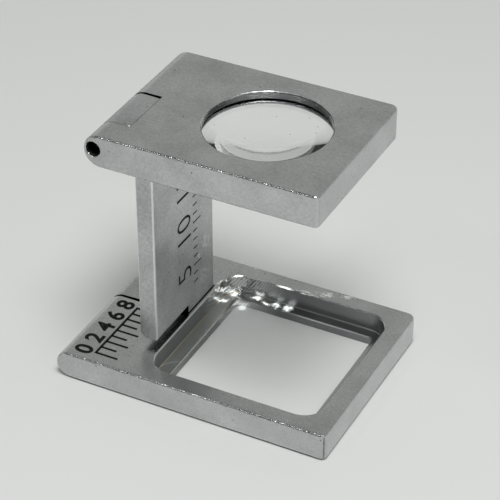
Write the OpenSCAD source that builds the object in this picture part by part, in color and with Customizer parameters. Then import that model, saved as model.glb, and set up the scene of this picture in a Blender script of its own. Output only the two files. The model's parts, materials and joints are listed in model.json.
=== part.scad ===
// Folding linen tester: base plate with a square window, upright and lens plate,
// joined by two hinges. Millimetres, +X from the hinges towards the front,
// +Z up, origin at the middle of the base plate's underside.
// Both plates fold 270 degrees and lie flat behind the upright, the lens plate inside.

/* [Window] */
// Side of the clear square window
window = 15; // [12:0.5:17]
// Corner radius of the window
window_corner = 0.5; // [0.3:0.1:1.5]
// Width of the ledge in front of and behind the window
ledge_x = 1.43; // [1:0.01:2]
// Width of the ledge at each side of the window
ledge_y = 1.15; // [0.9:0.01:2]
// Thickness of the ledge
ledge_t = 0.87; // [0.6:0.01:1.2]
// Corner radius of the recess above the ledge
recess_corner = 2.2; // [1.2:0.1:3]

/* [Base plate] */
// Thickness of the base plate
base_t = 2.9; // [2.7:0.05:3.3]
// Width of the rim round the recess
rim = 1.9; // [1.5:0.1:3]
// Wall left between the upright's pocket and the recess
web = 0.28; // [0.2:0.01:0.8]

/* [Upright] */
// Height of the whole instrument, open
height = 27.3; // [26:0.1:33]
// Thickness of the upright
wall_t = 1.9; // [1.6:0.05:2.4]
// Width of the upright
wall_w = 11.65; // [10:0.05:13]
// Gap between the upright's free ends and the plates
relief = 0.8; // [0.6:0.05:1.2]
// Corner radius of the upright's free ends, at the outer face
relief_corner = 0.94; // [0.4:0.02:1.2]
// Fillet between a knuckle and the upright
fillet = 0.5; // [0.3:0.05:0.55]

/* [Lens plate] */
// Thickness of the lens plate
lens_plate_t = 3.3; // [3.2:0.05:3.7]
// Width of the lens plate
lens_plate_w = 17.4; // [16.4:0.1:21]
// How far the lens axis stands behind the middle of the window
lens_back = 0.48; // [0:0.02:0.8]

/* [Hinges] */
// Diameter of the hinge pins
pin_d = 1.5; // [1.2:0.05:1.6]
// Radius of the pins' domed ends
pin_dome = 1.2; // [0.9:0.1:3]
// Lower pin's axis from the base plate's rear end
low_pin_back = 1.14; // [1.04:0.02:1.3]
// Lower pin's axis above the base plate's underside
low_pin_rise = 1.13; // [1.04:0.01:1.3]
// Upper pin's axis from the lens plate's rear end
top_pin_back = 1.02; // [0.96:0.02:1.3]
// Upper pin's axis below the lens plate's top
top_pin_depth = 1.47; // [1.3:0.01:1.6]
// Thickness of the skin that stops the upright in the lens plate
top_skin = 1.2; // [0.9:0.05:1.25]
// Thickness of the skin that stops the upright in the base plate
low_skin = 0.9; // [0.7:0.05:1]
// How deep the pins' ends lie below the plates' sides
pin_recess = 0.75; // [0.4:0.05:1]
// Length of pin held beyond the knuckle
pin_grip = 2.5; // [1.5:0.1:4]
// Angle at which the gap beside a knuckle widens towards the upright
knuckle_draft = 2.5; // [0:0.1:3]

/* [Lens] */
// Diameter of the lens
lens_d = 13; // [12:0.5:13.5]
// Radius of the lens's two faces
lens_radius = 26; // [24:0.5:40]
// Thickness of the lens at its edge
lens_edge = 0.9; // [0.7:0.05:1]
// Width of the lip that the lens rests against
lens_lip = 0.5; // [0.4:0.05:0.8]
// Depth of the lip below the lens plate's top
lens_depth = 0.85; // [0.8:0.05:1]
// Wire diameter of the retaining ring
ring_wire = 0.7; // [0.5:0.05:0.75]
// Opening between the retaining ring's ends, in degrees
ring_opening = 24; // [10:1:60]

/* [Edges and clearances] */
// Rounding of the castings' edges
edge_r = 0.25; // [0.1:0.01:0.3]
// Radius of the plates' near front corners
near_corner_r = 0.55; // [0.4:0.05:1.3]
// Radius of the plates' far front corners
far_corner_r = 0.9; // [0.4:0.05:1.3]
// Chamfer round the openings
chamfer = 0.12; // [0.08:0.01:0.2]
// Radial clearance of a pin in its knuckle
run_fit = 0.03; // [0.02:0.01:0.06]
// Clearance on a knuckle's tight side
side_fit = 0.05; // [0.03:0.01:0.1]
// Gap on a knuckle's wide side, at its rear end
side_gap = 0.26; // [0.1:0.01:0.35]
// Clearance where one piece stops against another
stop_fit = 0.02; // [0.01:0.01:0.05]
// Clearance round the moving end of a skin
sweep_fit = 0.05; // [0.03:0.01:0.1]
// How far each knuckle's seam lies behind the upright's outer face
seam_back = 0.17; // [0.1:0.01:0.3]
// Clearance between the upright and the front of its pocket
pocket_fit = 0.1; // [0.06:0.01:0.2]
// Gap between the two plates when folded
fold_gap = 0.13; // [0.1:0.01:0.5]
// Gap between the folded lens plate and the upright
wall_gap = 1.03; // [0.8:0.01:2]
// Gap between the folded lens plate's end and the base plate
tip_gap = 0.45; // [0.3:0.05:1.5]
// Clearance round the lens and in the retaining ring's groove
lens_fit = 0.02; // [0.01:0.01:0.05]
// How far the retaining ring reaches into the lens plate
ring_bite = 0.1; // [0.05:0.01:0.15]

/* [Hidden] */
$fn = 96;
// Length by which a cutting solid runs past the face that it cuts
past = 1;

// The fold sets where the pins and the upright stand, counted from the base plate's rear end.
// A pin's place is its X and its height above the outer face of its own plate
low_pin = [low_pin_back, low_pin_rise];
top_pin = [top_pin_back, top_pin_depth];
lens_plate_x0 = low_pin_back + low_pin_rise + fold_gap + lens_plate_t - top_pin_depth - top_pin_back;
wall_x0 = lens_plate_x0 + top_pin_back + top_pin_depth + wall_gap;
wall_x1 = wall_x0 + wall_t;
pocket_x = wall_x1 + pocket_fit;

// The window sets the base plate's length and width
recess_l = window + 2 * ledge_x;
recess_w = window + 2 * ledge_y;
window_x = pocket_x + web + recess_l / 2;
base_l = window_x + recess_l / 2 + rim;
base_w = recess_w + 2 * rim;

// The fold sets the lens plate's length: its end just clears the base plate
lens_plate_l = height - top_pin_depth + top_pin_back - base_t - tip_gap;
lens_plate_z0 = height - lens_plate_t;
lens_x = window_x - lens_back;

// Across the width, the lower knuckle fills the far half and the upper one the near half
slot_outer = wall_w / 2 + side_fit;
slot_inner = side_gap / 3;
knuckle_inner = side_gap - slot_inner;
low_tongue_y = hundredth(knuckle_inner + wall_x0 * tan(knuckle_draft));
top_tongue_y = hundredth(knuckle_inner + (wall_x0 - lens_plate_x0) * tan(knuckle_draft));
free_z0 = base_t + relief;
free_z1 = lens_plate_z0 - relief;

// The lens rests against its lip, and the ring against the lens
lens_r = lens_d / 2;
opening_r = lens_r - lens_lip;
seat_z = height - lens_depth;
lens_mid_z = seat_z - stop_fit - face_rise(opening_r) - lens_edge / 2;
face_mid = lens_edge / 2 - sqrt(lens_radius ^ 2 - lens_r ^ 2);
ring_r = lens_r + lens_fit + ring_bite - ring_wire / 2;
ring_z = lens_mid_z - lens_edge / 2 - face_rise(ring_r) - stop_fit - ring_wire / 2;

// Rounds a place to a hundredth of a millimetre, so that faces in one plane stay in it
function hundredth(place) = round(100 * place) / 100;

// How far a lens face stands above the lens's edge, at a distance from the axis
function face_rise(r) = sqrt(lens_radius ^ 2 - r ^ 2) - sqrt(lens_radius ^ 2 - lens_r ^ 2);

// A skin's end is an arc about its pin, so it passes the knuckle as the plate turns
function skin_r(pin, wall) = norm([wall - seam_back - pin[0], pin[1]]);

// Moves the origin from the base plate's rear end to its middle
module in_frame() {
    translate([-base_l / 2, 0, 0]) children();
}

// Puts a plate that lies outer face down, rear end at X 0, in the lens plate's place
module as_lens_plate() {
    translate([lens_plate_x0, 0, height]) rotate([180, 0, 0]) children();
}

// Extrudes an outline in X and Z along Y
module along_y(y0, y1) {
    translate([0, y1, 0]) rotate([90, 0, 0]) linear_extrude(y1 - y0) children();
}

// Extrudes an outline in Y and Z along X
module along_x(x0, x1) {
    translate([x0, 0, 0]) rotate([90, 0, 90]) linear_extrude(x1 - x0) children();
}

// Rectangle with round corners, from one corner
module round_rect(l, w, r) {
    translate([r, 0]) square([l - 2 * r, w]);
    translate([0, r]) square([l, w - 2 * r]);
    for (x = [r, l - r], y = [r, w - r]) {
        translate([x, y]) circle(r);
    }
}

// What rounding takes off a square corner at the origin that points down and to the left
module corner_waste(r) {
    difference() {
        translate([-past, -past]) square(r + past);
        translate([r, r]) circle(r);
    }
}

// One half of a bar's cross outline with rounded edges, from the bar's middle line out
module half_outline(half_w, t) {
    intersection() {
        translate([-half_w, 0]) round_rect(2 * half_w, t, edge_r);
        square([half_w, t]);
    }
}

// The half of a plate on one side of its middle line, in front of its half-round rear end,
// with rounded edges that run on round its front corner
module plate_half(l, half_w, t, corner_r) {
    corner_y = half_w - corner_r;
    along_x(t / 2, l - corner_r) half_outline(half_w, t);
    translate([l - corner_r, 0, 0]) {
        along_y(0, corner_y) half_outline(corner_r, t);
        translate([0, corner_y, 0]) rotate_extrude(angle = 90) half_outline(corner_r, t);
    }
}

// Plate with a half-round rear end at X 0 and its underside at Z 0
module plate_blank(l, w, t, near_r, far_r) {
    half_t = t / 2;
    translate([half_t, 0, half_t]) rotate([90, -90, 0]) rotate_extrude(angle = 180) {
        translate([0, -w / 2]) half_outline(half_t, w);
    }
    mirror([0, 1, 0]) plate_half(l, w / 2, t, near_r);
    plate_half(l, w / 2, t, far_r);
}

// Cutting solid with round corners and a chamfer at Z 0, from there down. It reaches up by clear
module chamfered_cut(l, w, r, depth, clear) {
    half_l = l / 2;
    half_w = w / 2;
    flare = chamfer + clear;
    translate([-half_l, -half_w, -depth]) linear_extrude(depth + clear) round_rect(l, w, r);
    for (x = [-1, 1], y = [-1, 1]) {
        translate([x * (half_l - r), y * (half_w - r), -chamfer]) cylinder(h = flare, r1 = r, r2 = r + flare);
    }
    along_x(r - half_l, half_l - r) flared_side(half_w, flare, clear);
    along_y(r - half_w, half_w - r) flared_side(half_l, flare, clear);
}

// Cross outline of the flared top of a cut
module flared_side(half, flare, clear) {
    polygon([[-half, -chamfer], [half, -chamfer], [half + flare, clear], [-half - flare, clear]]);
}

// Cutting cone that chamfers the rim of a bore at Z 0, the bore going up
module rim_cone(r) {
    translate([0, 0, -past]) cylinder(h = past + chamfer, r1 = r + past + chamfer, r2 = r);
}

// Side outline of the slot and pocket in a plate that lies outer face down:
// open at the rear, and over the skin in front
module slot_side(pin, t, skin_t, skin_r, front) {
    difference() {
        translate([-past, -past]) square([front + past, t + 2 * past]);
        difference() {
            translate([pin[0], -2 * past]) square([front, skin_t + 2 * past]);
            translate(pin) circle(skin_r);
        }
    }
}

// Slot, pocket and pin bore of a plate that lies outer face down
module hinge_cut(pin, t, w, skin_t, wall, front) {
    along_y(-slot_inner, slot_outer) slot_side(pin, t, skin_t, skin_r(pin, wall), front);
    translate([pin[0], w / 2, pin[1]]) rotate([90, 0, 0]) {
        cylinder(h = w / 2 + pin_grip, d = pin_d);
        translate([0, 0, -chamfer / 2]) rim_cone(pin_d / 2);
    }
}

// Side outline of a knuckle, up to the inside of the wall
module knuckle_side(pin, t, skin_t, skin_r, wall) {
    intersection() {
        union() {
            translate([t / 2, t / 2]) circle(d = t);
            translate([t / 2, 0]) square([pin[0] + skin_r, t]);
        }
        translate(pin) circle(skin_r - sweep_fit);
    }
    translate([pin[0], skin_t + stop_fit]) {
        square([wall + wall_t / 2 - pin[0], t - skin_t - stop_fit]);
    }
    difference() {
        translate([wall - fillet, t - fillet]) square([fillet + wall_t / 2, 2 * fillet]);
        translate([wall - fillet, t + fillet]) circle(fillet);
    }
}

// Knuckle of the upright for a plate that lies outer face down. Its inner side
// draws away from the slot's side as it nears the upright
module knuckle(pin, t, skin_t, wall, tongue_y) {
    mid_wall = wall + wall_t / 2;
    difference() {
        intersection() {
            along_y(0, wall_w / 2) knuckle_side(pin, t, skin_t, skin_r(pin, wall), wall);
            linear_extrude(t + 2 * fillet) polygon([
                [0, wall_w / 2],
                [0, knuckle_inner],
                [wall, tongue_y],
                [mid_wall, tongue_y],
                [mid_wall, wall_w / 2]
            ]);
        }
        translate([pin[0], wall_w, pin[1]]) rotate([90, 0, 0]) {
            cylinder(h = 2 * wall_w, r = pin_d / 2 + run_fit);
        }
    }
}

// What rounding takes off a free end of the upright that points down
module free_end_waste() {
    corner_waste(relief_corner);
    translate([wall_t, 0]) mirror([1, 0]) corner_waste(edge_r);
}

// The upright's flat wall: a tongue at the near top and at the far bottom reaches to that
// plate's skin, and the end beside each tongue is free
module wall() {
    half_w = wall_w / 2;
    difference() {
        intersection() {
            translate([wall_x0, -half_w, 0]) linear_extrude(height) round_rect(wall_t, wall_w, edge_r);
            along_x(wall_x0, wall_x1) polygon([
                [-half_w, free_z0],
                [low_tongue_y, free_z0],
                [low_tongue_y, low_skin + stop_fit],
                [half_w, low_skin + stop_fit],
                [half_w, free_z1],
                [-top_tongue_y, free_z1],
                [-top_tongue_y, height - top_skin - stop_fit],
                [-half_w, height - top_skin - stop_fit]
            ]);
        }
        along_y(-wall_w, low_tongue_y) translate([wall_x0, free_z0]) free_end_waste();
        along_y(-top_tongue_y, wall_w) translate([wall_x0, free_z1]) mirror([0, 1]) free_end_waste();
    }
}

// Domed end of a hinge pin, its tip at Z 0
module pin_end() {
    intersection() {
        cylinder(h = pin_dome, d = pin_d);
        translate([0, 0, pin_dome]) sphere(pin_dome);
    }
}

// Hinge pin of a plate that lies outer face down, driven in below the plate's side
module hinge_pin(pin, w) {
    pin_l = w / 2 - pin_recess + pin_grip - stop_fit;
    translate([pin[0], w / 2 - pin_recess, pin[1]]) rotate([90, 0, 0]) {
        pin_end();
        translate([0, 0, pin_dome]) cylinder(h = pin_l - 2 * pin_dome, d = pin_d);
        translate([0, 0, pin_l]) mirror([0, 0, 1]) pin_end();
    }
}

module base_plate() {
    color("silver") in_frame() difference() {
        plate_blank(base_l, base_w, base_t, near_corner_r, far_corner_r);
        translate([window_x, 0, base_t]) {
            chamfered_cut(recess_l, recess_w, recess_corner, base_t - ledge_t, past);
        }
        translate([window_x, 0, ledge_t]) {
            chamfered_cut(window, window, window_corner, ledge_t + past, ledge_y / 2);
        }
        hinge_cut(low_pin, base_t, base_w, low_skin, wall_x0, pocket_x);
    }
}

module upright() {
    color("silver") in_frame() {
        wall();
        knuckle(low_pin, base_t, low_skin, wall_x0, low_tongue_y);
        as_lens_plate() knuckle(top_pin, lens_plate_t, top_skin, wall_x0 - lens_plate_x0, top_tongue_y);
    }
}

module lens_plate() {
    color("silver") in_frame() difference() {
        as_lens_plate() difference() {
            plate_blank(lens_plate_l, lens_plate_w, lens_plate_t, far_corner_r, near_corner_r);
            hinge_cut(
                top_pin, lens_plate_t, lens_plate_w, top_skin,
                wall_x0 - lens_plate_x0, pocket_x - lens_plate_x0
            );
        }
        translate([lens_x, 0, lens_plate_z0]) {
            translate([0, 0, -past]) {
                cylinder(h = lens_plate_t + 2 * past, r = opening_r);
                cylinder(h = seat_z - lens_plate_z0 + past, r = lens_r + lens_fit);
            }
            rim_cone(lens_r + lens_fit);
            translate([0, 0, lens_plate_t]) mirror([0, 0, 1]) rim_cone(opening_r);
        }
        translate([lens_x, 0, ring_z]) rotate_extrude() {
            translate([ring_r, 0]) circle(ring_wire / 2 + lens_fit);
        }
    }
}

module lower_hinge_pin() {
    color("dimgray") in_frame() hinge_pin(low_pin, base_w);
}

module upper_hinge_pin() {
    color("dimgray") in_frame() as_lens_plate() hinge_pin(top_pin, lens_plate_w);
}

module lens() {
    color("lightcyan", 0.4) in_frame() translate([lens_x, 0, lens_mid_z]) {
        rotate_extrude() intersection() {
            translate([0, -lens_radius]) square([lens_r, 2 * lens_radius]);
            translate([0, face_mid]) circle(lens_radius, $fn = 720);
            translate([0, -face_mid]) circle(lens_radius, $fn = 720);
        }
    }
}

module lens_retaining_ring() {
    color("gray") in_frame() translate([lens_x, 0, ring_z]) {
        rotate([0, 0, ring_opening / 2]) rotate_extrude(angle = 360 - ring_opening) {
            translate([ring_r, 0]) circle(d = ring_wire);
        }
    }
}

base_plate();
upright();
lens_plate();
lower_hinge_pin();
upper_hinge_pin();
lens();
lens_retaining_ring();
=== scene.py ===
"""Looks of the folding linen tester: plated castings, print, engraving, lens and stage.

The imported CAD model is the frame. Everything here is in metres, in the same frame:
+X from the hinges to the front, +Z up, origin under the middle of the base plate.
"""

import json
import math

import bmesh
import bpy
from bpy.props import FloatProperty, FloatVectorProperty, IntProperty, PointerProperty
from mathutils import Matrix, Vector

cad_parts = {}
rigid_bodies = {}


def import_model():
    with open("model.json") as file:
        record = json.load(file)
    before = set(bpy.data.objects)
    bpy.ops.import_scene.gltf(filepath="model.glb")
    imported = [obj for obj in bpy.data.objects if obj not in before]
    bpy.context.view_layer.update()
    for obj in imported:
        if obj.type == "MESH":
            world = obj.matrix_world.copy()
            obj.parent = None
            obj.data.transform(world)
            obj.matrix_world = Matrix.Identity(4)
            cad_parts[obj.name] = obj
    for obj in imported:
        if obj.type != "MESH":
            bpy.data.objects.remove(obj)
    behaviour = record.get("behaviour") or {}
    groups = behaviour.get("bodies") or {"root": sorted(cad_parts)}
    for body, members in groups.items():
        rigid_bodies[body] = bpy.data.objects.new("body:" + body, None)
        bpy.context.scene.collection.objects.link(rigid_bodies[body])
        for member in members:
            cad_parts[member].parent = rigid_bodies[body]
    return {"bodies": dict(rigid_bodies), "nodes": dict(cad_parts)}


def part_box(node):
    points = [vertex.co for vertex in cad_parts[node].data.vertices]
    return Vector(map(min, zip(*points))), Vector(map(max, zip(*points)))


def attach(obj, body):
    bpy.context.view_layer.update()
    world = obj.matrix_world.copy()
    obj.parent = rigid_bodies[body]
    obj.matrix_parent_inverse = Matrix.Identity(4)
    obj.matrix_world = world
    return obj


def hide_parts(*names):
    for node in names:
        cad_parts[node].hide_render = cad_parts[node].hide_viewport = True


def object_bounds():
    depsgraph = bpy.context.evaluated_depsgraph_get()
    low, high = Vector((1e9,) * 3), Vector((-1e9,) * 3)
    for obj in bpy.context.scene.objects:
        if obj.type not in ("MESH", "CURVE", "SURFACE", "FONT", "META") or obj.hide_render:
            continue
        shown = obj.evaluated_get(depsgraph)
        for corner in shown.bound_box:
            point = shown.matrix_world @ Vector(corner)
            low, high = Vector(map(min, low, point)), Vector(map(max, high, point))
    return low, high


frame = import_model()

bl_info = {
    "name": "Linen tester",
    "version": (1, 0, 0),
    "blender": (4, 5, 0),
    "location": "3D View > Sidebar > Linen tester",
    "description": "Finishes, marks, lens and stage of a folding linen tester",
    "category": "Object",
}

MM = 0.001
CAD_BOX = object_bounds()

BASE_LOW, BASE_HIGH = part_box("base_plate")
UPRIGHT_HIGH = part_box("upright")[1]
LENS_LOW, LENS_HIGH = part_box("lens")
LENS_MIDDLE = (LENS_LOW + LENS_HIGH) / 2
TOP = CAD_BOX[1].z

# The window's recess in the base plate, inside the chamfer round it
LEDGE_TOP = 0.87 * MM
RECESS_REAR = BASE_LOW.x + 8.9 * MM
RECESS_RIM = 1.8 * MM
RECESS_SIDE = BASE_HIGH.y - RECESS_RIM
CUTTER = 2.2 * MM
CHAMFER = 0.12 * MM

# The lip that the lens rests against, and half the height of the painted shade line where the lens meets
# it
LIP_BOTTOM = 26.45 * MM
LIP_RADIUS = 6 * MM
SEAT_LINE = 0.13 * MM

# The upright's raised foot, and how far the sides of the gap beside each knuckle are from the middle
FOOT_UNDERSIDE = 3.7 * MM
KNUCKLE_GAP = 1 * MM

# Places where wear and the corner lines begin: edges past the recess's own, upright edges past the lens's
# opening, the near front corners, and the end of the ledge's satin rear part
PAST_RECESS_EDGE = 0.5 * MM
PAST_OPENING = 5.3 * MM
NEAR_CORNERS = -8.0 * MM
SATIN_LEDGE = 1.3 * MM

# Half the height of the painted shade lines under the raised foot and where the upright meets the base,
# and how close to the upright's front the second lies
FOOT_LINE = 0.1 * MM
BASE_LINE = 0.13 * MM
FRONT_SKIN = 0.03 * MM

# The thread where the plating is thin: its middle above the ledge, and half its width there and on the
# cutter's arc
THREAD_HEIGHT = 0.03 * MM
THREAD_LINE = 0.06 * MM
ARC_LINE = 0.05 * MM

# How far a point looks round it for the walls of a gap
GAP_REACH = 1.6 * MM

# How the two ways of finishing a casting look: the roughness where it is smoothest and roughest, how
# much of the plating's tone is left where it is dullest, and how bright handling has made upright edges
TUMBLED = {"smoothest": 0.20, "roughest": 0.28, "dullest": 0.74, "burnished": 0.0}
BLASTED = {"smoothest": 0.34, "roughest": 0.42, "dullest": 0.66, "burnished": 0.85}

# Grains and depths of the finishes. Most real ones are finer than a pixel, and are drawn here as coarse
# as they need to be to show
CLOUD_SIZE = 4 * MM
GRAIN_DEPTH = 0.013 * MM
NICK_GRAIN = 0.32 * MM
NICK_DEPTH = 0.05 * MM
STREAK_GRAIN = 0.4 * MM
CUT_DEPTH = 0.006 * MM
CHATTER_GRAIN = 0.9 * MM
CHATTER_DEPTH = 0.16 * MM
BURR_GRAIN = 0.45 * MM
OXIDE_GRAIN = 0.3 * MM
OXIDE_DEPTH = 0.01 * MM
WIRE_GRAIN = 0.2 * MM
INK_GRAIN = 0.2 * MM
INK_DEPTH = 0.005 * MM
DUST_SPACING = 3.4 * MM

# How far the cutter's chatter reaches from the recess's far rear corner, at full strength and in all
CHATTER_REACH = (2.6 * MM, 6.4 * MM)

# A wave texture at scale 1 has a band about this often
WAVE_BAND = 0.3125

# Pale scuffed patches, each as its centre, half length and half width in millimetres and its angle with
# X.
# They are also painted highlights, where glints and gathered light fall. The first is broken up into
# streaks along the far rim
RIM_SCUFF_AND_HIGHLIGHT = ((4.9, 9.4, 2.9), 3.4, 0.5, 17)
SCUFFS_AND_HIGHLIGHTS = (
    ((0.75, 8.68, 2.88), 1.2, 0.18, 1),
    ((-5.5, 6.5, 2.86), 0.5, 0.12, 78),
    ((-8.0, -5.8, 27.3), 0.14, 0.10, 0),
    ((-5.78, -5.8, 3.75), 0.12, 0.12, 0),
)

# Faint smears that fingers have left on the upright's front, in the same way
SMEARS = (
    ((-5.75, 2.8, 8.4), 0.5, 0.8, 0),
    ((-5.75, 4.2, 9.4), 0.5, 1.1, 0),
    ((-5.75, 3.9, 5.6), 0.5, 1.3, 0),
)

# Burrs that the cutter left on the ledge round the far rear corner, in the same way. Their white is also
# a painted highlight for the sparkles of light in that corner
BURR_SPARKLES = (
    ((-4.95, 6.4, 0.87), 0.75, 0.42, 35),
    ((-4.5, 7.75, 0.87), 0.60, 0.60, 0),
    ((-2.2, 8.2, 0.87), 0.85, 0.40, 0),
    ((-0.9, 7.85, 0.87), 0.70, 0.26, 0),
    ((0.1, 8.05, 0.87), 0.60, 0.62, 0),
    ((1.4, 8.1, 0.87), 0.65, 0.65, 0),
)

# The lens gathers the lamps' light to a spot on the floor in that corner, in millimetres, and to more
# on the burrs round it. Each spot's beam has this length, and its lamp this radius and soft share
GATHERED_ON_FLOOR = (-3.3, 7.2, 0)
BEAM_LENGTH = 40 * MM
BEAM_SOURCE = 0.1 * MM
BEAM_BLEND = 0.8

# The chamfer round the lens, and the angle from which its edges are sharp
LENS_CHAMFER = 0.12 * MM
SHARP_ANGLE = math.radians(15)

# Points of a mesh that are closer than this are one
WELD = 1e-7

# Marks are thin films, whose middle stands this share of their thickness above the face. Numerals in
# Blender's own typeface have this share of its size in height
FILM_LIFT = 0.2
NUMERAL_SHARE = 0.69

# The printed rule: where it starts, and how long its lines are
RULE_FILM = 0.014 * MM
RULE_START = BASE_LOW.y + 1.4 * MM
RULE_FOOT = BASE_LOW.x + 3.7 * MM
RULE_NUMBERED = 2.4 * MM
RULE_WHOLE = 1.7 * MM
RULE_PART = 1.1 * MM
RULE_NUMERAL_GAP = 0.45 * MM
RULE_NUMERAL_WEIGHT = 0.07 * MM

# The engraved scale: where it starts, its first and last lines that show, and how long they are
SCALE_FILM = 0.02 * MM
SCALE_SIDE = 1.7 * MM
SCALE_LINES = range(3, 20)
SCALE_NUMBERED_EVERY = 5
SCALE_NUMBERED = 1.5 * MM
SCALE_PLAIN = 0.8 * MM
SCALE_NUMERAL_GAP = 0.5 * MM
SCALE_NUMERAL_WEIGHT = -0.045 * MM

# The stage: the floor's half width and how far it lies below the object, and each lamp's width and place
FLOOR_REACH = 1.5
FLOOR_GAP = 0.02 * MM
SOFTBOX = (0.15, (0.08, -0.09, 0.35))
WINDOW = (0.035, (-0.132, -0.190, 0.272))
CAMERA_LAMP = (0.02, (0.13, -0.25, 0.21))
LAMPS_AIM = Vector((0, 0, 0.01))


def linear(hex_colour):
    """A colour written as sRGB hex, as the linear red, green, blue and alpha that Blender uses."""
    channels = [int(hex_colour[i:i + 2], 16) / 255 for i in (1, 3, 5)]
    return tuple(c / 12.92 if c <= 0.04045 else ((c + 0.055) / 1.055) ** 2.4 for c in channels) + (1.0,)


def colour_property(name, hex_colour, description):
    """A colour that the user can change."""
    return FloatVectorProperty(
        name=name, description=description, subtype="COLOR", size=4, min=0, max=1,
        default=linear(hex_colour),
    )


def length_property(name, millimetres, description):
    """A length that the user can change."""
    return FloatProperty(
        name=name, description=description, subtype="DISTANCE", unit="LENGTH", min=0, precision=5,
        default=millimetres * MM,
    )


def angle_property(name, degrees, description):
    """An angle that the user can change."""
    return FloatProperty(
        name=name, description=description, subtype="ANGLE", unit="ROTATION",
        default=math.radians(degrees),
    )


def power_property(name, watts, description):
    """A lamp's power that the user can change."""
    return FloatProperty(name=name, description=description, subtype="POWER", unit="POWER", default=watts)


# Settings

class LINENTESTER_PG_finish(bpy.types.PropertyGroup):
    """Colours and grains of the metal's finishes"""

    chrome: colour_property("Chrome", "#C9CBCB", "Colour of the satin chrome plating")
    milled: colour_property("Milled wall", "#868889", "Colour of the recess's milled walls")
    ledge: colour_property("Milled ledge", "#B4B6B4", "Colour of the recess's milled ledge")
    # Pits and specks, and the painted shade on edges and the lower half of the opening's chamfer
    speck: colour_property("Specks", "#4A4C4A", "Colour of the pits and specks in the plating")
    burnish: colour_property("Burnish", "#EDEFEF", "Colour of the edges that handling has burnished")
    # Scuffed metal, and the painted highlights of glints, sparkles and lit cutter ridges
    scuff: colour_property("Scuffs", "#FFFFFF", "Colour of scuffed and torn metal")
    # Painted shade: the near black painted into gaps, under the raised foot and along the lens's seat
    grime: colour_property("Grime", "#0B0B0B", "Colour of the oil and dust deep in the gaps")
    grain: length_property("Grain", 0.24, "Grain of the tumbled casting under the plating")
    blast: length_property("Blast grain", 0.26, "Grain of the blasted upright under the plating")
    speck_spacing: length_property("Speck spacing", 1.7, "Mean distance between specks in the plating")
    mill_pitch: length_property("Mill pitch", 0.26, "Distance between the cutter's marks in the recess")
    undercoat: colour_property("Undercoat", "#D0BD98", "Brass undercoat where the plating is thin")
    pin: colour_property("Pin", "#1A1A1B", "Colour of the blackened hinge pins")
    wire: colour_property("Wire", "#B4B6B8", "Colour of the retaining ring's spring wire")


class LINENTESTER_PG_marks(bpy.types.PropertyGroup):
    """Sizes of the printed and engraved marks"""

    ink: colour_property("Ink", "#060607", "Colour of the rule and the scale")
    rule_length: length_property("Rule length", 8, "Length of the printed rule")
    rule_step: length_property("Rule step", 1, "Distance between the printed rule's lines")
    numeral: length_property("Numeral height", 1.75, "Height of the printed rule's numerals")
    line: length_property("Line width", 0.26, "Width of the printed rule's lines")
    scale_step: length_property("Engraved step", 1, "Distance between the engraved scale's lines")
    engraved_numeral: length_property("Engraved numeral", 2.6, "Height of the engraved numerals")
    engraved_line: length_property("Engraved line", 0.13, "Width of the engraved lines")


class LINENTESTER_PG_lens(bpy.types.PropertyGroup):
    """Shape and glass of the lens"""

    edge: length_property("Edge thickness", 0.9, "Thickness of the lens at its edge")
    segments: IntProperty(name="Segments", description="Faces round the lens", default=192, min=48)
    rings: IntProperty(
        name="Rings", description="Faces from the lens's middle to its edge", default=40, min=8
    )
    glass: colour_property("Glass", "#FFFFFF", "Colour of the lens's glass")
    shadow: colour_property("Shadow", "#A0A2A1", "Share of the light that the lens lets into its shadow")
    dust: colour_property("Dust", "#8E8F8C", "Colour of the grains of dust on the lens")


class LINENTESTER_PG_stage(bpy.types.PropertyGroup):
    """Floor, room, camera and lamps"""

    floor: colour_property("Floor", "#DFE0DF", "Colour of the plain floor")
    walls: colour_property("Walls", "#B2B4B1", "Colour of the room above the horizon")
    overhead: colour_property("Overhead", "#6A6B6A", "Colour of the room overhead and behind the camera")
    azimuth: angle_property("Azimuth", 27.16, "Camera's angle round the object, from straight in front")
    elevation: angle_property("Elevation", 34.85, "Camera's angle above the horizon")
    distance: length_property("Distance", 194.2, "Camera's distance from the point it looks at")
    focal_length: FloatProperty(
        name="Focal length", description="Focal length on a 36 mm wide sensor, in millimetres",
        default=148, min=20,
    )
    target: FloatVectorProperty(
        name="Target", description="Point that the camera looks at", subtype="XYZ", unit="LENGTH", size=3,
        default=(1.29 * MM, 0, 13.04 * MM),
    )
    softbox_power: power_property("Softbox", 0.89, "Power of the soft lamp overhead")
    window_power: power_property("Window", 0.05, "Power of the small lamp behind the camera")
    camera_power: power_property("Camera lamp", 0.04, "Power of the small lamp beside the camera")
    gathered_power: power_property("Gathered light", 0.45, "Power of each spot that the lens gathers")
    gathered_width: length_property("Gathered width", 1.6, "Width of each of the lens's spots of light")
    floor_spot: length_property("Floor spot", 0.95, "Width of the lens's spot of light on the floor")
    focus_depth: length_property("Focus depth", 0.45, "How far from its focus such a spot lights things")


# Small helpers

def fill_inputs(tree, node, inputs):
    """Sets or links a node's inputs. Each value is a number, a colour, another node's output, or another
    node, which stands for the first of its outputs that is in use."""
    for key, value in inputs.items():
        if isinstance(key, int):
            socket = node.inputs[key]
        else:
            socket = next(s for s in node.inputs if s.enabled and s.name == key)
        if isinstance(value, bpy.types.Node):
            value = next(s for s in value.outputs if s.enabled)
        if isinstance(value, bpy.types.NodeSocket):
            tree.links.new(value, socket)
        else:
            socket.default_value = value


def add_node(tree, kind, inputs=None, **settings):
    """Adds a shader node with its settings and its inputs."""
    node = tree.nodes.new("ShaderNode" + kind)
    for name, value in settings.items():
        setattr(node, name, value)
    fill_inputs(tree, node, inputs or {})
    return node


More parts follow.
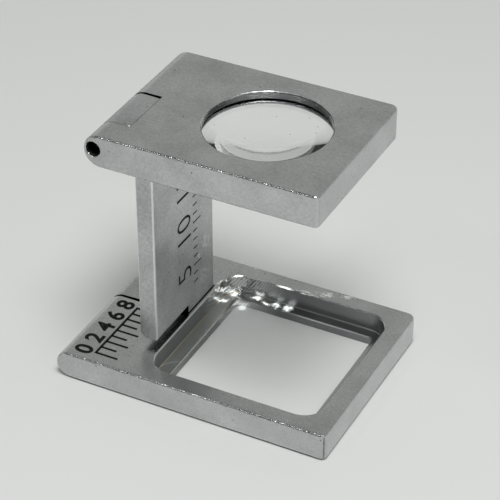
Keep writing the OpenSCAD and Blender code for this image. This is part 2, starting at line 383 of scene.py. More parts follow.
def combine(tree, operation, first, *others):
    """Combines masks one after another: MULTIPLY keeps where all of them are, MAXIMUM where any is,
    and ADD adds them up."""
    result = first
    for mask in others:
        result = add_node(tree, "Math", {0: result, 1: mask}, operation=operation)
    return result


def layered(tree, value, layers, data_type="RGBA"):
    """A colour or number with layers over it. Each layer is the mask of where it lies, and its value."""
    for mask, layer in layers:
        value = add_node(tree, "Mix", {"Factor": mask, "A": value, "B": layer}, data_type=data_type)
    return value


def new_material(name):
    """A material with its node tree and its one shader."""
    material = bpy.data.materials.new(name)
    material.use_nodes = True
    tree = material.node_tree
    return material, tree, tree.nodes["Principled BSDF"]


def finish_node(name, material):
    """Gives a CAD node its material, and returns its mesh."""
    mesh = frame["nodes"][name].data
    mesh.materials.clear()
    mesh.materials.append(material)
    return mesh


def new_piece(name, mesh, material, body):
    """A finished piece of the visual model that moves with a CAD body."""
    piece = bpy.data.objects.new(name, mesh)
    bpy.context.scene.collection.objects.link(piece)
    piece.data.materials.clear()
    piece.data.materials.append(material)
    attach(piece, body)
    return piece


def place_and_aim(name, data, place, direction):
    """Puts a lamp or camera in its place, looking in a direction."""
    holder = bpy.data.objects.new(name, data)
    bpy.context.scene.collection.objects.link(holder)
    holder.location = place
    holder.rotation_mode = "QUATERNION"
    holder.rotation_quaternion = direction.to_track_quat("-Z", "Y")
    return holder


# Masks

def surface(tree):
    """A surface's place, that place's parts, and the parts of the direction that it faces in."""
    coordinates = add_node(tree, "TexCoord")
    place = coordinates.outputs["Object"]
    at = add_node(tree, "SeparateXYZ", {0: place})
    facing = add_node(tree, "SeparateXYZ", {0: coordinates.outputs["Normal"]})
    return place, at, facing


def edge_masks(tree, at, facing, slant):
    """Two masks of rounded edges, from the direction that a face points in: the edges that run along X,
    but for the recess's, which are crisp, and the upright edges that stand outside the lens's opening."""
    across = add_node(tree, "Math", {0: at.outputs["Y"]}, operation="ABSOLUTE")
    out_and_up = combine(tree, "ADD", across, at.outputs["Z"])
    recess_edge = RECESS_SIDE + BASE_HIGH.z + PAST_RECESS_EDGE
    past_recess = add_node(tree, "Math", {0: out_and_up, 1: recess_edge}, operation="GREATER_THAN")
    roll = combine(tree, "MULTIPLY", facing.outputs["Y"], facing.outputs["Z"])
    rolled = add_node(tree, "Math", {0: roll}, operation="ABSOLUTE")
    along = add_node(
        tree, "MapRange", {"Value": rolled, "From Min": 0.15, "From Max": 0.4},
        interpolation_type="SMOOTHSTEP",
    )

    outside = add_node(tree, "Math", {0: across, 1: PAST_OPENING}, operation="GREATER_THAN")
    slanted = add_node(tree, "Math", {0: slant}, operation="ABSOLUTE")
    standing = add_node(
        tree, "MapRange", {"Value": slanted, "From Min": 0.25, "From Max": 0.45},
        interpolation_type="SMOOTHSTEP",
    )
    return combine(tree, "MULTIPLY", along, past_recess), combine(tree, "MULTIPLY", standing, outside)


def smear(tree, place, spot, core=0.7):
    """1 in the core of a long spot and 0 outside it. A spot is its centre, half length and half width in
    millimetres, and its angle with X in degrees."""
    centre, half_length, half_width, degrees = spot
    turned = add_node(
        tree, "Mapping",
        {"Vector": place, "Location": Vector(centre) * MM, "Rotation": (0, 0, math.radians(degrees)),
         "Scale": Vector((half_length, half_width, half_width)) * MM},
        vector_type="TEXTURE",
    )
    reach = add_node(tree, "VectorMath", {0: turned}, operation="LENGTH")
    return add_node(
        tree, "MapRange",
        {"Value": reach, "From Min": core, "From Max": 1.0, "To Min": 1.0, "To Max": 0.0},
    )


def gap_mask(tree):
    """1 deep in a narrow gap and 0 in the open, from how much of what is round it a point can see. It
    places painted shade.
    """
    occlusion = add_node(tree, "AmbientOcclusion", {"Distance": GAP_REACH}, samples=16)
    openness = occlusion.outputs["AO"]
    return add_node(
        tree, "MapRange",
        {"Value": openness, "From Min": 0.28, "From Max": 0.50, "To Min": 1.0, "To Max": 0.0},
    )


def soil_mask(tree, place, at, facing):
    """Where shade is painted near black: deep in the gaps, on the wall of the opening where the lens
    meets its lip, under the upright's raised foot, on the sides of the gap beside each knuckle, and on
    the line where the upright's far half meets the base."""
    x, y, z = (at.outputs[part] for part in "XYZ")
    seat = (LENS_MIDDLE.x, LENS_MIDDLE.y, LIP_BOTTOM)
    from_seat = add_node(tree, "VectorMath", {0: place, 1: seat}, operation="DISTANCE")
    in_opening = add_node(
        tree, "Math", {0: from_seat, 1: LIP_RADIUS + CHAMFER / 2}, operation="LESS_THAN"
    )
    at_lip = add_node(tree, "Math", {0: z, 1: LIP_BOTTOM, 2: SEAT_LINE}, operation="COMPARE")

    at_foot = add_node(tree, "Math", {0: z, 1: FOOT_UNDERSIDE, 2: FOOT_LINE}, operation="COMPARE")
    down = add_node(tree, "Math", {0: facing.outputs["Z"], 1: -0.5}, operation="LESS_THAN")

    turned = add_node(tree, "Math", {0: facing.outputs["Y"]}, operation="ABSOLUTE")
    sideways = add_node(tree, "Math", {0: turned, 1: 0.5}, operation="GREATER_THAN")
    at_knuckle = add_node(tree, "Math", {0: y, 1: 0.0, 2: KNUCKLE_GAP}, operation="COMPARE")

    far_middle = UPRIGHT_HIGH.y / 2
    on_front = add_node(tree, "Math", {0: x, 1: UPRIGHT_HIGH.x, 2: FRONT_SKIN}, operation="COMPARE")
    at_base = add_node(tree, "Math", {0: z, 1: BASE_HIGH.z, 2: BASE_LINE}, operation="COMPARE")
    far_half = add_node(tree, "Math", {0: y, 1: far_middle, 2: far_middle}, operation="COMPARE")
    return combine(
        tree, "MAXIMUM", gap_mask(tree),
        combine(tree, "MULTIPLY", at_lip, in_opening),
        combine(tree, "MULTIPLY", at_foot, down),
        combine(tree, "MULTIPLY", sideways, at_knuckle),
        combine(tree, "MULTIPLY", on_front, at_base, far_half),
    )


def dark_nicks(tree, place, at, nicks, edges):
    """Where edges are nicked to darker metal in grains along them, which also paint the dark reflections
    between their bright beads, and where painted shade covers all of the lower half of the chamfer
    round the lens's opening."""
    opening = (LENS_MIDDLE.x, LENS_MIDDLE.y, TOP)
    from_opening = add_node(tree, "VectorMath", {0: place, 1: opening}, operation="DISTANCE")
    at_opening = add_node(
        tree, "Math", {0: from_opening, 1: LIP_RADIUS + 2 * CHAMFER}, operation="LESS_THAN"
    )
    under = add_node(tree, "Math", {0: at.outputs["Z"], 1: TOP - CHAMFER / 2}, operation="LESS_THAN")
    likelier = add_node(tree, "Math", {0: at_opening, 1: 0.03, 2: nicks}, operation="MULTIPLY_ADD")
    grains = add_node(
        tree, "MapRange",
        {"Value": likelier, "From Min": 0.48, "From Max": 0.58, "To Min": 0.0, "To Max": 0.4},
    )
    # Painted shade on the lower half of the opening's chamfer, which narrows its highlight
    shaded_chamfer_half = combine(tree, "MULTIPLY", at_opening, under)
    return combine(tree, "MULTIPLY", combine(tree, "MAXIMUM", grains, shaded_chamfer_half), edges)


def corner_line(tree, finish, at, facing, slant, nicks):
    """A thin line down each plate's near front corner, and its colour: darker on the base, and worn pale
    on the lens plate."""
    ridge = add_node(
        tree, "MapRange",
        {"Value": slant, "From Min": -0.470, "From Max": -0.492, "To Min": 0.0, "To Max": 1.3},
    )
    near = add_node(tree, "Math", {0: at.outputs["Y"], 1: NEAR_CORNERS}, operation="LESS_THAN")
    ahead = add_node(tree, "Math", {0: facing.outputs["X"], 1: 0.5}, operation="GREATER_THAN")
    upper = add_node(tree, "Math", {0: at.outputs["Z"], 1: LENS_LOW.z / 2}, operation="GREATER_THAN")
    tone = layered(tree, finish.speck, [(upper, finish.chrome)])
    return combine(tree, "MULTIPLY", ridge, near, ahead, nicks), tone


def wear_masks(tree, place):
    """The pale scuffed patches that picks have left along the far rim and on a few edges, which are also
    painted highlights of glints and gathered light, and the faint smears that fingers have wiped on the
    upright."""
    drawn_out = add_node(
        tree, "Mapping", {"Vector": place, "Rotation": (0, 0, math.radians(-12)), "Scale": (0.3, 1, 1)}
    )
    streaks = add_node(
        tree, "TexNoise",
        {"Vector": drawn_out, "Scale": 1 / STREAK_GRAIN, "Detail": 3.0, "Roughness": 0.6},
    )
    broken = add_node(tree, "MapRange", {"Value": streaks, "From Min": 0.50, "From Max": 0.56})
    along_rim = combine(tree, "MULTIPLY", smear(tree, place, RIM_SCUFF_AND_HIGHLIGHT), broken)
    scuffs_and_highlights = combine(tree, "MAXIMUM", along_rim, *[smear(tree, place, spot) for spot in SCUFFS_AND_HIGHLIGHTS])
    wiped = add_node(
        tree, "MapRange",
        {"Value": streaks, "From Min": 0.44, "From Max": 0.60, "To Min": 0.0, "To Max": 0.9},
    )
    smears = [combine(tree, "MULTIPLY", wiped, smear(tree, place, spot, core=0.2)) for spot in SMEARS]
    return scuffs_and_highlights, smears


# Finishes

def plating_colour(tree, finish, place, grain, clouds, dullest):
    """The plating's tone follows the grain, its shade drifts a little over the clouds, and it has a few
    dark pits."""
    cells = add_node(
        tree, "TexVoronoi", {"Vector": place, "Scale": 1 / finish.speck_spacing, "Randomness": 1.0}
    )
    pits = add_node(
        tree, "MapRange",
        {"Value": cells, "From Min": 0.03, "From Max": 0.065, "To Min": 0.75, "To Max": 0.0},
    )
    mottle = combine(tree, "ADD", grain, clouds)
    tone = add_node(tree, "MapRange", {"Value": mottle, "From Min": 0.75, "From Max": 1.25})
    dulled = tuple(dullest * c for c in finish.chrome[:3]) + (1.0,)
    return layered(tree, dulled, [(tone, finish.chrome), (pits, finish.speck)])


def satin_chrome_on_zinc(name, finish, grain_size, smoothest, roughest, dullest, burnished):
    """Zinc die casting, tumbled or blasted and then satin chrome plated: a pearly grey with a fine
    grain, a few dark pits, cloudy patches of gloss, long edges that tumbling has left bright and
    uneven with darker nicks that also paint dark reflections, pale scuffed patches that also paint
    highlights, and gaps painted black as painted shade."""
    material, tree, shader = new_material(name)
    place, at, facing = surface(tree)
    slant = combine(tree, "MULTIPLY", facing.outputs["X"], facing.outputs["Y"])
    edges, corners = edge_masks(tree, at, facing, slant)
    grain = add_node(
        tree, "TexNoise", {"Vector": place, "Scale": 1 / grain_size, "Detail": 3.0, "Roughness": 0.65}
    )
    clouds = add_node(
        tree, "TexNoise", {"Vector": place, "Scale": 1 / CLOUD_SIZE, "Detail": 4.0, "Roughness": 0.6}
    )
    nicks = add_node(
        tree, "TexNoise", {"Vector": place, "Scale": 1 / NICK_GRAIN, "Detail": 2.0, "Roughness": 0.6}
    )

    edge_nicks_and_shade = dark_nicks(tree, place, at, nicks, edges)
    handled = combine(tree, "MULTIPLY", corners, burnished)
    line, line_tone = corner_line(tree, finish, at, facing, slant, nicks)
    # The scuffed patches are also painted highlights of glints and gathered light
    scuffs_and_highlights, smears = wear_masks(tree, place)
    # Painted shade, near black in gaps, on the lens's seat, under the foot, beside the knuckles and along
    # the upright's join
    painted_gap_shade = soil_mask(tree, place, at, facing)
    colour = layered(tree, plating_colour(tree, finish, place, grain, clouds, dullest), [
        (edge_nicks_and_shade, finish.speck),
        (handled, finish.burnish),
        (line, line_tone),
        (scuffs_and_highlights, finish.scuff),
        *[(wiped, finish.burnish) for wiped in smears],
        (painted_gap_shade, finish.grime),
    ])

    # Scuffed patches and painted highlights scatter the light instead of mirroring it, edges are
    # smoother, and nicks and the painted shade are dull
    metal = add_node(tree, "MapRange", {"Value": scuffs_and_highlights, "To Min": 1.0, "To Max": 0.1})
    satin = add_node(
        tree, "MapRange",
        {"Value": clouds, "From Min": 0.3, "From Max": 0.7, "To Min": smoothest, "To Max": roughest},
    )
    worn = layered(tree, satin, [(edges, 0.16)], "FLOAT")
    nicked = add_node(tree, "Math", {0: edge_nicks_and_shade, 1: 0.7, 2: worn}, operation="MULTIPLY_ADD")
    dull = layered(tree, nicked, [(scuffs_and_highlights, 0.5), (painted_gap_shade, 0.7)], "FLOAT")

    grained = add_node(tree, "Bump", {"Height": grain, "Strength": 1.0, "Distance": GRAIN_DEPTH})
    ripple = combine(tree, "MULTIPLY", nicks, edges)
    uneven = add_node(
        tree, "Bump", {"Height": ripple, "Strength": 1.0, "Distance": NICK_DEPTH, "Normal": grained}
    )
    fill_inputs(
        tree, shader, {"Base Color": colour, "Metallic": metal, "Roughness": dull, "Normal": uneven}
    )
    return material


def thin_plating(tree, finish, place, at, wall, level, at_rear):
    """Where the plating over the milled faces is thin, and what shows there: along the foot of the
    walls, brass at the rear and pale metal elsewhere, and pale metal too along the arc that the cutter
    left on the ledge in the near rear corner."""
    x, y, z = (at.outputs[part] for part in "XYZ")
    foot = add_node(
        tree, "Math", {0: z, 1: LEDGE_TOP + THREAD_HEIGHT, 2: THREAD_LINE}, operation="COMPARE"
    )
    line = combine(tree, "MULTIPLY", foot, wall)

    arc_middle = Vector((RECESS_REAR + CUTTER, -RECESS_SIDE + CUTTER, LEDGE_TOP))
    from_arc = add_node(tree, "VectorMath", {0: place, 1: arc_middle}, operation="DISTANCE")
    round_arc = add_node(tree, "Math", {0: from_arc, 1: CUTTER, 2: ARC_LINE}, operation="COMPARE")
    beyond = add_node(tree, "Math", {0: y, 1: arc_middle.y}, operation="GREATER_THAN")
    behind = add_node(tree, "Math", {0: x, 1: arc_middle.x}, operation="LESS_THAN")
    arc = combine(tree, "MULTIPLY", round_arc, beyond, behind, level)

    brassy = combine(tree, "MULTIPLY", line, at_rear)
    showing = layered(tree, finish.chrome, [(brassy, finish.undercoat)])
    return combine(tree, "MAXIMUM", line, arc), showing


def burr_mask(tree, place):
    """1 on the torn burrs that the cutter left on the ledge, with ragged outlines, that are painted white
    as painted highlights.
    """
    crumbs = add_node(tree, "TexNoise", {"Vector": place, "Scale": 1 / BURR_GRAIN, "Detail": 2.0})
    raggedness = Vector((1.2, 1.2, 0)) * MM
    shifted = add_node(
        tree, "VectorMath", {0: crumbs.outputs["Color"], 1: raggedness, 2: place},
        operation="MULTIPLY_ADD",
    )
    ragged = add_node(tree, "VectorMath", {0: shifted, 1: raggedness / 2}, operation="SUBTRACT")
    return combine(tree, "MAXIMUM", *[smear(tree, ragged, spot, core=0.4) for spot in BURR_SPARKLES])


def milled_chrome(finish):
    """The same plating over a face cut by an end mill: darker and sharper than the satin, with slanting
    cutter marks, painted lighter near the far rear corner as a painted highlight, white burrs that are
    painted highlights too, and a thread of brass undercoat along the foot of the wall."""
    material, tree, shader = new_material("bright_chrome_on_milled_zinc")
    place, at, facing = surface(tree)
    wall = add_node(tree, "Math", {0: facing.outputs["Z"], 1: 0.5}, operation="LESS_THAN")
    level = add_node(tree, "Math", {0: facing.outputs["Z"], 1: 0.5}, operation="GREATER_THAN")
    painted_far_side_shade = add_node(tree, "Math", {0: facing.outputs["Y"], 1: -0.5}, operation="LESS_THAN")
    at_rear = add_node(
        tree, "Math", {0: at.outputs["X"], 1: RECESS_REAR + SATIN_LEDGE}, operation="LESS_THAN"
    )

    # The cutter chattered where it turned in the far rear corner, and ran smooth along the sides
    corner = (RECESS_REAR, RECESS_SIDE, BASE_HIGH.z)
    from_corner = add_node(tree, "VectorMath", {0: place, 1: corner}, operation="DISTANCE")
    near_corner = add_node(
        tree, "MapRange",
        {"Value": from_corner, "From Min": CHATTER_REACH[0], "From Max": CHATTER_REACH[1], "To Min": 1.0,
         "To Max": 0.0},
    )
    chattered = combine(tree, "MULTIPLY", near_corner, wall)
    turned = add_node(
        tree, "Mapping", {"Vector": place, "Rotation": (math.radians(20), math.radians(-34), 0)}
    )
    marks = add_node(
        tree, "TexWave",
        {"Vector": turned, "Scale": WAVE_BAND / finish.mill_pitch, "Distortion": 1.2, "Detail": 1.0},
        bands_direction="X",
    )
    cuts = combine(tree, "MULTIPLY", marks.outputs["Fac"], chattered)
    clouds = add_node(tree, "TexNoise", {"Vector": place, "Scale": 1 / CHATTER_GRAIN, "Detail": 1.0})
    lumps = combine(tree, "MULTIPLY", clouds, chattered)

    # Walls are darker than the ledge, and faces on the far side that turn to the near side get the walls'
    # colour as painted shade. Both are satin, and sharp only where the cutter chattered and on the
    # ledge's front part
    dark = combine(tree, "MAXIMUM", wall, painted_far_side_shade)
    gloss = layered(tree, 0.22, [(at_rear, 0.42), (dark, 0.30), (chattered, 0.12)], "FLOAT")

    # The chattered ridges are painted lighter as a painted highlight, torn burrs are painted white as
    # painted highlights, and the burrs and the thin plating scatter the light
    painted_ridge_light = combine(tree, "MULTIPLY", combine(tree, "ADD", chattered, cuts), 0.4)
    thin, showing = thin_plating(tree, finish, place, at, wall, level, at_rear)
    scattering = combine(tree, "MAXIMUM", combine(tree, "MULTIPLY", thin, 0.45), burr_mask(tree, place))
    # Painted highlight: the burrs are painted white for the sparkles of light in the corner
    torn = add_node(tree, "MapRange", {"Value": scattering, "From Min": 0.5, "From Max": 1.0})
    colour = layered(tree, finish.ledge, [
        (dark, finish.milled),
        (painted_ridge_light, finish.scuff),
        (thin, showing),
        (torn, finish.scuff),
    ])
    metal = add_node(tree, "MapRange", {"Value": scattering, "To Min": 1.0, "To Max": 0.1})

    cut = add_node(tree, "Bump", {"Height": cuts, "Strength": 1.0, "Distance": CUT_DEPTH})
    waved = add_node(
        tree, "Bump", {"Height": lumps, "Strength": 1.0, "Distance": CHATTER_DEPTH, "Normal": cut}
    )
    fill_inputs(
        tree, shader, {"Base Color": colour, "Metallic": metal, "Roughness": gloss, "Normal": waved}
    )
    return material


def blackened_steel(finish):
    """Drawn steel pin, blackened in hot oxide: near black with a soft oily sheen."""
    material, tree, shader = new_material("hot_blackened_drawn_steel")
    place = add_node(tree, "TexCoord").outputs["Object"]
    oxide = add_node(tree, "TexNoise", {"Vector": place, "Scale": 1 / OXIDE_GRAIN, "Detail": 3.0})
    sheen = add_node(tree, "MapRange", {"Value": oxide, "To Min": 0.28, "To Max": 0.5})
    rough = add_node(tree, "Bump", {"Height": oxide, "Strength": 1.0, "Distance": OXIDE_DEPTH})
    fill_inputs(
        tree, shader,
        {"Base Color": finish.pin, "Metallic": 1.0, "Roughness": sheen, "Normal": rough},
    )
    return material


def spring_wire(finish):
    """Drawn spring steel wire: bright, with a fine unevenness from the drawing die."""
    material, tree, shader = new_material("drawn_spring_steel_wire")
    place = add_node(tree, "TexCoord").outputs["Object"]
    lines = add_node(tree, "TexNoise", {"Vector": place, "Scale": 1 / WIRE_GRAIN, "Detail": 2.0})
    drawn = add_node(tree, "MapRange", {"Value": lines, "To Min": 0.18, "To Max": 0.34})
    fill_inputs(tree, shader, {"Base Color": finish.wire, "Metallic": 1.0, "Roughness": drawn})
    return material


def polished_crown_glass(settings):
    """Crown glass, ground and polished: clear and sharp, with a few grains of dust. It gathers the
    light that it lets through, so that its shadow is a grey one."""
    material, tree, shader = new_material("polished_crown_glass")
    place = add_node(tree, "TexCoord").outputs["Object"]
    cells = add_node(
        tree, "TexVoronoi", {"Vector": place, "Scale": 1 / DUST_SPACING}, voronoi_dimensions="2D"
    )
    grains = add_node(
        tree, "MapRange",
        {"Value": cells, "From Min": 0.015, "From Max": 0.03, "To Min": 0.5, "To Max": 0.0},
    )
    at = add_node(tree, "SeparateXYZ", {0: place})
    top = add_node(tree, "Math", {0: at.outputs["Z"], 1: LENS_MIDDLE.z}, operation="GREATER_THAN")
    dust = combine(tree, "MULTIPLY", grains, top)
    fill_inputs(
        tree, shader,
        {"Base Color": settings.glass, "Metallic": 0.0, "Roughness": 0.0, "IOR": 1.52,
         "Transmission Weight": 1.0},
    )
    grain = add_node(tree, "BsdfDiffuse", {"Color": settings.dust})
    dusty = add_node(tree, "MixShader", {0: dust, 1: shader, 2: grain})
    clear = add_node(tree, "BsdfTransparent", {"Color": settings.shadow})
    path = add_node(tree, "LightPath")
    mixed = add_node(tree, "MixShader", {0: path.outputs["Is Shadow Ray"], 1: dusty, 2: clear})
    fill_inputs(tree, tree.nodes["Material Output"], {"Surface": mixed})
    return material


def pad_printed_ink(marks):
    """Black two-part ink, pad printed or rubbed into engraving: dense and nearly matt, with soft
    pinholes in it."""
    material, tree, shader = new_material("pad_printed_black_ink")
    place = add_node(tree, "TexCoord").outputs["Object"]
    film = add_node(tree, "TexNoise", {"Vector": place, "Scale": 1 / INK_GRAIN, "Detail": 2.0})
    gloss = add_node(tree, "MapRange", {"Value": film, "To Min": 0.5, "To Max": 0.75})
    lifted = add_node(tree, "Bump", {"Height": film, "Strength": 1.0, "Distance": INK_DEPTH})
    fill_inputs(
        tree, shader,
        {"Base Color": marks.ink, "Metallic": 0.0, "Roughness": gloss, "Specular IOR Level": 0.2,
         "Normal": lifted},
    )
    return material


# Shapes

def add_bar(bm, centre, size):
    """Adds a flat bar to a mesh, from its centre and its size along X, Y and Z."""
    made = bmesh.ops.create_cube(bm, size=1.0)
    bmesh.ops.transform(
        bm, verts=made["verts"], matrix=Matrix.Translation(centre) @ Matrix.Diagonal((*size, 1.0))
    )


def add_text(bm, words, height, film, place, weight):
    """Adds a line of numerals to a mesh. Place is the matrix that takes the text's own plane to its
    place, and weight is how far its strokes grow outwards."""
    curve = bpy.data.curves.new("numerals", "FONT")
    curve.body = words
    curve.size = height / NUMERAL_SHARE
    curve.align_x = "CENTER"
    curve.extrude = film / 2
    curve.offset = weight
    curve.resolution_u = 6
    holder = bpy.data.objects.new("numerals", curve)
    bpy.context.scene.collection.objects.link(holder)
    bpy.context.view_layer.update()
    mesh = bpy.data.meshes.new_from_object(holder.evaluated_get(bpy.context.evaluated_depsgraph_get()))
    mesh.transform(place)
    bm.from_mesh(mesh)
    bpy.data.objects.remove(holder)
    bpy.data.curves.remove(curve)
    bpy.data.meshes.remove(mesh)


def finished_mesh(bm, name):
    """A mesh object's data from a mesh in the making."""
    bmesh.ops.remove_doubles(bm, verts=bm.verts, dist=WELD)
    bmesh.ops.recalc_face_normals(bm, faces=bm.faces)
    mesh = bpy.data.meshes.new(name)
    bm.to_mesh(mesh)
    bm.free()
    return mesh


def lens_outline(settings):
    """The lens's outline, from the middle of its top face to the middle of its bottom face, as radii
    and heights above its own middle."""
    radius = (LENS_HIGH.x - LENS_LOW.x) / 2
    half_edge = settings.edge / 2
    rise = (LENS_HIGH.z - LENS_LOW.z) / 2 - half_edge
    curve = (radius ** 2 + rise ** 2) / (2 * rise)
    face = []
    for i in range(settings.rings + 1):
        r = (radius - LENS_CHAMFER) * math.sin(0.5 * math.pi * i / settings.rings)
        face.append((r, half_edge + math.sqrt(curve ** 2 - r ** 2) - math.sqrt(curve ** 2 - radius ** 2)))
    rim = half_edge - LENS_CHAMFER
    return face + [(radius, rim), (radius, -rim)] + [(r, -z) for r, z in reversed(face)]


def turned_mesh(outline, segments):
    """A closed mesh turned about Z, from an outline that starts and ends on the axis."""
    bm = bmesh.new()
    turns = [2 * math.pi * k / segments for k in range(segments)]
    rings = []
    for r, z in outline:
        if r == 0:
            rings.append([bm.verts.new((0, 0, z))])
        else:
            rings.append([bm.verts.new((r * math.cos(t), r * math.sin(t), z)) for t in turns])
    for upper, lower in zip(rings, rings[1:]):
        for k in range(segments):
            following = (k + 1) % segments
            corners = [upper[k % len(upper)], lower[k % len(lower)]]
            if len(lower) > 1:
                corners.append(lower[following])
            if len(upper) > 1:
                corners.append(upper[following])
            bm.faces.new(corners)
    return bm


# Operators

class LINENTESTER_OT_castings(bpy.types.Operator):
    """Finish the three castings: satin chrome outside, and bright milled walls in the recess"""

    bl_idname = "linen_tester.castings"
    bl_label = "Castings"

    def execute(self, context):
        finish = context.scene.linen_tester_finish
        tumbled = satin_chrome_on_zinc("satin_chrome_on_tumbled_zinc", finish, finish.grain, **TUMBLED)
        blasted = satin_chrome_on_zinc("matt_chrome_on_blasted_zinc", finish, finish.blast, **BLASTED)
        finish_node("upright", blasted)
        finish_node("lens_plate", tumbled)
        base = finish_node("base_plate", tumbled)
        base.materials.append(milled_chrome(finish))
        for face in base.polygons:
            face.material_index = 1 if self.is_milled(face) else 0
        return {"FINISHED"}

    def is_milled(self, face):
        """Whether a face lies in the recess, apart from the chamfer round it."""
        centre = face.center
        inside = (
            RECESS_REAR < centre.x < BASE_HIGH.x - RECESS_RIM
            and abs(centre.y) < RECESS_SIDE
            and BASE_LOW.z < centre.z < BASE_HIGH.z - CHAMFER
        )
        on_chamfer = 0.3 < face.normal.z < 0.9 and centre.z > (LEDGE_TOP + BASE_HIGH.z) / 2
        return inside and not on_chamfer


class LINENTESTER_OT_pins(bpy.types.Operator):
    """Blacken the hinge pins and brighten the retaining ring's wire"""

    bl_idname = "linen_tester.pins"
    bl_label = "Pins and ring"

    def execute(self, context):
        finish = context.scene.linen_tester_finish
        black = blackened_steel(finish)
        finish_node("lower_hinge_pin", black)
        finish_node("upper_hinge_pin", black)
        finish_node("lens_retaining_ring", spring_wire(finish))
        return {"FINISHED"}


class LINENTESTER_OT_lens(bpy.types.Operator):
    """Turn the lens as a smooth biconvex body and give it polished glass"""

    bl_idname = "linen_tester.lens"
    bl_label = "Lens"

    def execute(self, context):
        settings = context.scene.linen_tester_lens
        bm = turned_mesh(lens_outline(settings), settings.segments)
        for face in bm.faces:
            face.smooth = True
        for edge in bm.edges:
            edge.smooth = edge.calc_face_angle(0.0) < SHARP_ANGLE
        bmesh.ops.translate(bm, verts=bm.verts, vec=LENS_MIDDLE)
        mesh = finished_mesh(bm, "lens_polished")
        glass = polished_crown_glass(settings)
        piece = new_piece("lens_polished", mesh, glass, "lens_leaf")
        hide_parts("lens")
        return {"FINISHED"}


class LINENTESTER_OT_printed_rule(bpy.types.Operator):
    """Print a short rule with plain numerals on the base plate's rear strip"""

    bl_idname = "linen_tester.printed_rule"
    bl_label = "Printed rule"

    def execute(self, context):
        marks = context.scene.linen_tester_marks
        top = BASE_HIGH.z + FILM_LIFT * RULE_FILM
        steps = round(marks.rule_length / marks.rule_step)
        per_millimetre = round(MM / marks.rule_step)
        bm = bmesh.new()
        for step in range(steps + 1):
            y = RULE_START + step * marks.rule_step
            numbered = step % (2 * per_millimetre) == 0
            whole = step % per_millimetre == 0
            length = RULE_NUMBERED if numbered else RULE_WHOLE if whole else RULE_PART
            add_bar(bm, (RULE_FOOT + length / 2, y, top), (length, marks.line, RULE_FILM))
            if numbered:
                numeral = str(round(step * marks.rule_step / MM))
                beside = Matrix.Translation((RULE_FOOT - RULE_NUMERAL_GAP, y, top))
                place = beside @ Matrix.Rotation(math.pi / 2, 4, "Z")
                add_text(bm, numeral, marks.numeral, RULE_FILM, place, RULE_NUMERAL_WEIGHT)
        middle = (RULE_FOOT, RULE_START + marks.rule_length / 2, top)
        add_bar(bm, middle, (marks.line, marks.rule_length + marks.line, RULE_FILM))
        mesh = finished_mesh(bm, "printed_rule")
        new_piece("printed_rule", mesh, pad_printed_ink(marks), "base")
        return {"FINISHED"}


class LINENTESTER_OT_engraved_scale(bpy.types.Operator):
    """Engrave a height scale with plain numerals on the upright's front face"""

    bl_idname = "linen_tester.engraved_scale"
    bl_label = "Engraved scale"

    def execute(self, context):
        marks = context.scene.linen_tester_marks
        front = UPRIGHT_HIGH.x + FILM_LIFT * SCALE_FILM
        bm = bmesh.new()
        for step in SCALE_LINES:
            numbered = step % SCALE_NUMBERED_EVERY == 0
            length = SCALE_NUMBERED if numbered else SCALE_PLAIN
            z = BASE_HIGH.z + step * marks.scale_step
            add_bar(bm, (front, SCALE_SIDE + length / 2, z), (SCALE_FILM, length, marks.engraved_line))
            if numbered:
                side = SCALE_SIDE - SCALE_NUMERAL_GAP
                place = Matrix(((0, 0, 1, front), (0, -1, 0, side), (1, 0, 0, z), (0, 0, 0, 1)))
                add_text(bm, str(step), marks.engraved_numeral, SCALE_FILM, place, SCALE_NUMERAL_WEIGHT)
        mesh = finished_mesh(bm, "engraved_scale")
        new_piece("engraved_scale", mesh, pad_printed_ink(marks), "upright")
        return {"FINISHED"}


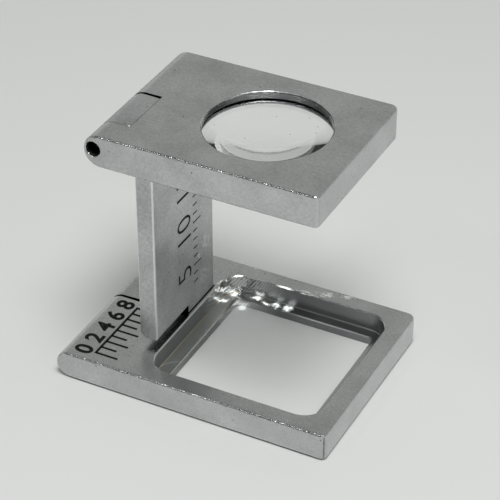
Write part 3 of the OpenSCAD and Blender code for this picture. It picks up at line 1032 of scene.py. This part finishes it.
class LINENTESTER_OT_stage(bpy.types.Operator):
    """Set the floor, the lamps, the room and the camera"""

    bl_idname = "linen_tester.stage"
    bl_label = "Stage"

    def execute(self, context):
        settings = context.scene.linen_tester_stage
        self.add_floor(context, settings)
        self.add_lamp("softbox", settings.softbox_power, *SOFTBOX)
        self.add_lamp("window", settings.window_power, *WINDOW)
        self.add_lamp("camera_lamp", settings.camera_power, *CAMERA_LAMP)
        self.add_gathered_light(settings, GATHERED_ON_FLOOR, settings.floor_spot)
        for spot in (SCUFFS_AND_HIGHLIGHTS[0], *BURR_SPARKLES):
            self.add_gathered_light(settings, spot[0], settings.gathered_width)
        self.set_room(context, settings)
        self.add_camera(context, settings)
        context.scene.view_settings.view_transform = "Standard"
        return {"FINISHED"}

    def add_floor(self, context, settings):
        """A plain, matt, pale table top."""
        bm = bmesh.new()
        bmesh.ops.create_grid(bm, x_segments=1, y_segments=1, size=FLOOR_REACH)
        bmesh.ops.translate(bm, verts=bm.verts, vec=(0, 0, -FLOOR_GAP))
        mesh = finished_mesh(bm, "floor")
        floor = bpy.data.objects.new("floor", mesh)
        context.scene.collection.objects.link(floor)
        material, tree, shader = new_material("matt_pale_table")
        fill_inputs(
            tree, shader, {"Base Color": settings.floor, "Roughness": 0.9, "Specular IOR Level": 0.2}
        )
        mesh.materials.append(material)

    def add_lamp(self, name, power, size, place):
        """A square lamp that looks at the object."""
        lamp = bpy.data.lights.new(name, "AREA")
        lamp.energy = power
        lamp.size = size
        place_and_aim(name, lamp, place, LAMPS_AIM - Vector(place))

    def add_gathered_light(self, settings, spot, width):
        """A beam through the lens's middle, for a spot that the real lens makes of a lamp above it. It
        moves with the lens, and lights only what lies in its focus."""
        focus = Vector(spot) * MM
        beam = (LENS_MIDDLE - focus).normalized()
        lamp = bpy.data.lights.new("gathered_light", "SPOT")
        lamp.energy = settings.gathered_power
        lamp.spot_size = 2 * math.atan(width / 2 / BEAM_LENGTH)
        lamp.spot_blend = BEAM_BLEND
        lamp.shadow_soft_size = BEAM_SOURCE
        lamp.use_nodes = True
        tree = lamp.node_tree
        path = add_node(tree, "LightPath")
        focused = add_node(
            tree, "Math", {0: path.outputs["Ray Length"], 1: BEAM_LENGTH, 2: settings.focus_depth},
            operation="COMPARE",
        )
        fill_inputs(tree, tree.nodes["Emission"], {"Strength": focused})
        holder = place_and_aim("gathered_light", lamp, focus + BEAM_LENGTH * beam, -beam)
        lens_body = frame["bodies"]["lens_leaf"]
        holder.parent = lens_body
        holder.matrix_parent_inverse = lens_body.matrix_world.inverted()

    def set_room(self, context, settings):
        """Pale low down, where the floor meets the room, a middle grey higher up, and darker overhead
        and behind the camera."""
        world = bpy.data.worlds.new("grey_room")
        context.scene.world = world
        world.use_nodes = True
        tree = world.node_tree
        direction = add_node(tree, "TexCoord").outputs["Generated"]
        parts = add_node(tree, "SeparateXYZ", {0: direction})
        above = add_node(
            tree, "MapRange", {"Value": parts.outputs["Z"], "From Min": 0.02, "From Max": 0.35}
        )
        lean = add_node(tree, "VectorMath", {0: direction, 1: (0.0, -0.5, 0.87)}, operation="DOT_PRODUCT")
        overhead = add_node(tree, "MapRange", {"Value": lean, "From Min": 0.40, "From Max": 0.75})
        room = layered(tree, settings.floor, [(above, settings.walls), (overhead, settings.overhead)])
        fill_inputs(tree, tree.nodes["Background"], {"Color": room})

    def add_camera(self, context, settings):
        """The camera that took the photograph."""
        lens = bpy.data.cameras.new("photo_camera")
        lens.sensor_width = 36.0
        lens.lens = settings.focal_length
        lens.clip_start = 0.005
        level = math.cos(settings.elevation)
        back = Vector((
            math.sin(settings.azimuth) * level,
            -math.cos(settings.azimuth) * level,
            math.sin(settings.elevation),
        ))
        place = Vector(settings.target) + settings.distance * back
        context.scene.camera = place_and_aim("photo_camera", lens, place, -back)


STEPS = (
    LINENTESTER_OT_castings,
    LINENTESTER_OT_pins,
    LINENTESTER_OT_lens,
    LINENTESTER_OT_printed_rule,
    LINENTESTER_OT_engraved_scale,
    LINENTESTER_OT_stage,
)
SETTINGS = {
    "linen_tester_finish": LINENTESTER_PG_finish,
    "linen_tester_marks": LINENTESTER_PG_marks,
    "linen_tester_lens": LINENTESTER_PG_lens,
    "linen_tester_stage": LINENTESTER_PG_stage,
}


class LINENTESTER_PT_sidebar(bpy.types.Panel):
    """Lists the steps and their settings"""

    bl_idname = "LINENTESTER_PT_sidebar"
    bl_label = "Linen tester"
    bl_space_type = "VIEW_3D"
    bl_region_type = "UI"
    bl_category = "Linen tester"

    def draw(self, context):
        for step in STEPS:
            self.layout.operator(step.bl_idname)
        for name in SETTINGS:
            box = self.layout.box()
            settings = getattr(context.scene, name)
            for key in settings.bl_rna.properties.keys():
                if key not in ("rna_type", "name"):
                    box.prop(settings, key)


def register():
    for made in (*SETTINGS.values(), *STEPS, LINENTESTER_PT_sidebar):
        bpy.utils.register_class(made)
    for name, group in SETTINGS.items():
        setattr(bpy.types.Scene, name, PointerProperty(type=group))


def unregister():
    for name in SETTINGS:
        delattr(bpy.types.Scene, name)
    for made in reversed((*SETTINGS.values(), *STEPS, LINENTESTER_PT_sidebar)):
        bpy.utils.unregister_class(made)


def main():
    register()
    bpy.ops.linen_tester.castings()
    bpy.ops.linen_tester.pins()
    bpy.ops.linen_tester.lens()
    bpy.ops.linen_tester.printed_rule()
    bpy.ops.linen_tester.engraved_scale()
    bpy.ops.linen_tester.stage()


if __name__ == "__main__":
    main()
